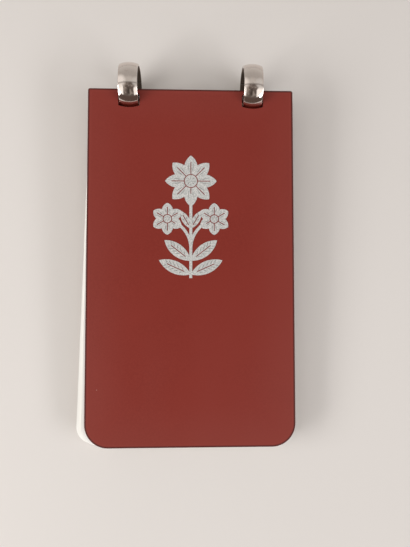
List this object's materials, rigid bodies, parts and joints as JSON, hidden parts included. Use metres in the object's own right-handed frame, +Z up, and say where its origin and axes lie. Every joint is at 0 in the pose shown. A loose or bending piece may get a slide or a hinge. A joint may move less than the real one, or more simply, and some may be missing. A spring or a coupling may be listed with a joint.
{
  "type": "aide memoire case",
  "caption": "Pocket aide memoire: red hard covers and thin white writing leaves that flip over on wide half-round metal rings at the top.",
  "frame": {"origin": "on the table plane under the middle of the object as it lies on its back, in the plane midway between the rings", "axes": "X across the covers, +Y towards the rings, +Z up from the table"},
  "size_m": [0.0604, 0.1088, 0.0136],
  "materials": {
    "cover": "satin",
    "foil": "satin",
    "ring": "polished",
    "leaf": "satin"
  },
  "bodies": {
    "back_cover": {"back_cover": "cover"},
    "front_cover": {"front_cover": "cover", "front_motif": "foil"},
    "leaf_1": {"leaf_1": "leaf"},
    "leaf_2": {"leaf_2": "leaf"},
    "leaf_3": {"leaf_3": "leaf"},
    "leaf_4": {"leaf_4": "leaf"},
    "leaf_5": {"leaf_5": "leaf"},
    "leaf_6": {"leaf_6": "leaf"},
    "leaf_7": {"leaf_7": "leaf"},
    "left_ring": {"left_ring": "ring"},
    "right_ring": {"right_ring": "ring"}
  },
  "joints": [
    {"name": "cover_open", "type": "hinge", "parent": "back_cover", "child": "front_cover", "pos_m": [0, 0.04737, 0.0068], "axis": [-1, 0, 0], "range_deg": [0, 184.3]},
    {"name": "leaf_1_turn", "type": "hinge", "parent": "back_cover", "child": "leaf_1", "pos_m": [0, 0.04737, 0.0068], "axis": [-1, 0, 0], "range_deg": [0, 184.3]},
    {"name": "leaf_2_turn", "type": "hinge", "parent": "back_cover", "child": "leaf_2", "pos_m": [0, 0.04737, 0.0068], "axis": [-1, 0, 0], "range_deg": [0, 184.3]},
    {"name": "leaf_3_turn", "type": "hinge", "parent": "back_cover", "child": "leaf_3", "pos_m": [0, 0.04737, 0.0068], "axis": [-1, 0, 0], "range_deg": [0, 184.3]},
    {"name": "leaf_4_turn", "type": "hinge", "parent": "back_cover", "child": "leaf_4", "pos_m": [0, 0.04737, 0.0068], "axis": [-1, 0, 0], "range_deg": [0, 184.3]},
    {"name": "leaf_5_turn", "type": "hinge", "parent": "back_cover", "child": "leaf_5", "pos_m": [0, 0.04737, 0.0068], "axis": [-1, 0, 0], "range_deg": [0, 184.3]},
    {"name": "leaf_6_turn", "type": "hinge", "parent": "back_cover", "child": "leaf_6", "pos_m": [0, 0.04737, 0.0068], "axis": [-1, 0, 0], "range_deg": [0, 184.3]},
    {"name": "leaf_7_turn", "type": "hinge", "parent": "back_cover", "child": "leaf_7", "pos_m": [0, 0.04737, 0.0068], "axis": [-1, 0, 0], "range_deg": [0, 184.3]},
    {"name": "left_ring_spin", "type": "hinge", "parent": "back_cover", "child": "left_ring", "pos_m": [0, 0.04737, 0.0068], "axis": [1, 0, 0], "continuous": true},
    {"name": "right_ring_spin", "type": "hinge", "parent": "back_cover", "child": "right_ring", "pos_m": [0, 0.04737, 0.0068], "axis": [1, 0, 0], "continuous": true}
  ],
  "couplings": [
    {"joint": "leaf_1_turn", "follows": "cover_open", "ratio": 0.935},
    {"joint": "leaf_2_turn", "follows": "cover_open", "ratio": 0.87},
    {"joint": "leaf_3_turn", "follows": "cover_open", "ratio": 0.805},
    {"joint": "leaf_4_turn", "follows": "cover_open", "ratio": 0.74},
    {"joint": "leaf_5_turn", "follows": "cover_open", "ratio": 0.675},
    {"joint": "leaf_6_turn", "follows": "cover_open", "ratio": 0.61},
    {"joint": "leaf_7_turn", "follows": "cover_open", "ratio": 0.545}
  ]
}
